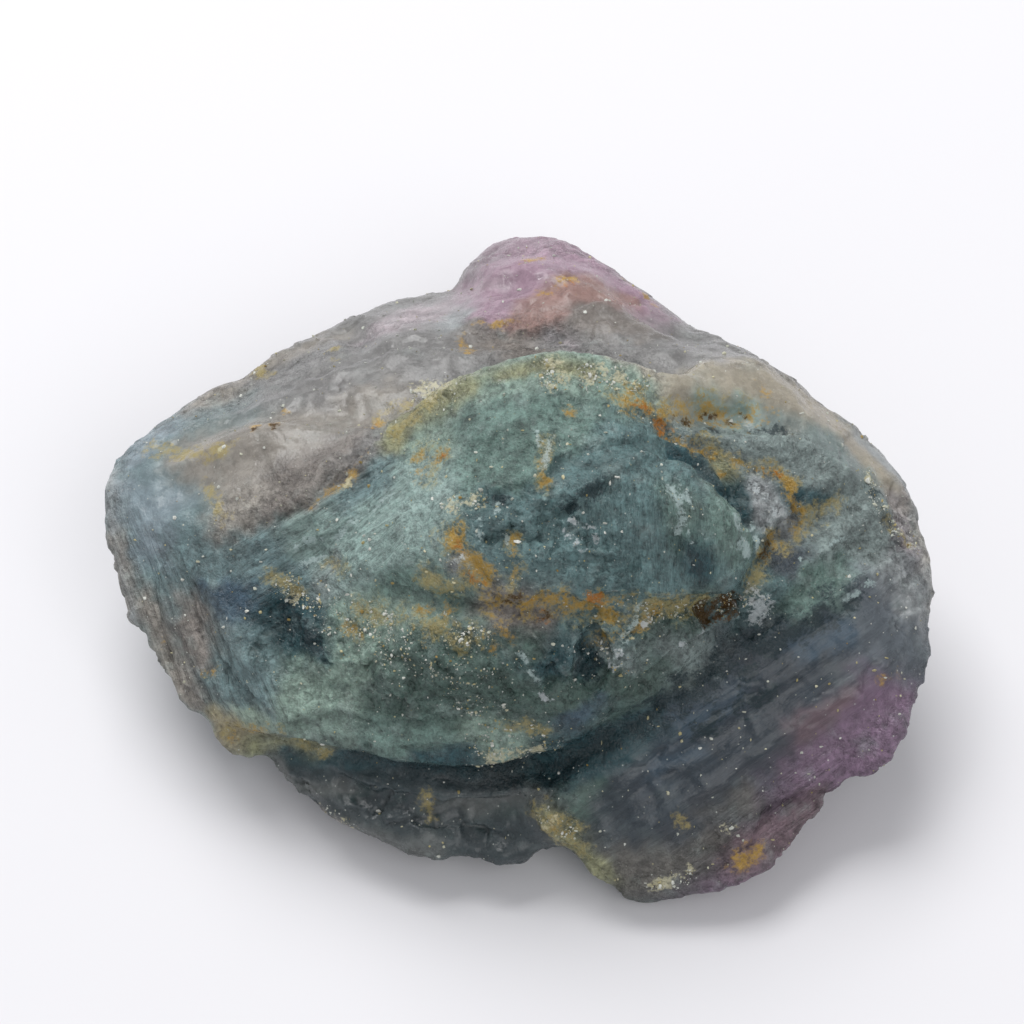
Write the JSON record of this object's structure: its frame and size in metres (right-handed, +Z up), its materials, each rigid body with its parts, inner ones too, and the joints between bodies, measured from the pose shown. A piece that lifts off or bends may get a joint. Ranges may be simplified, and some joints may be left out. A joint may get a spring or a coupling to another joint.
{
  "type": "raw fluorite",
  "caption": "Rough hand-size chunk of banded fluorite in teal, slate, lilac and fawn, with a domed top and a sloping cleavage face, lying on a flat break.",
  "frame": {"origin": "under the middle of the stone, on the surface that it rests on", "axes": "+Z up from the rest face, +X along the stone's longest extent, towards the end with the fawn shoulder, +Y from the low front ledge to the purple knob at the back"},
  "size_m": [0.0616, 0.0524, 0.0265],
  "materials": {
    "banded_fluorite": "waxy broken surface of banded fluorite, slightly translucent at thin edges, with rust stains",
    "grit": "dull cream and pale crumbs lying in the creases"
  },
  "bodies": {
    "root": {"fluorite": "banded_fluorite"}
  },
  "joints": []
}
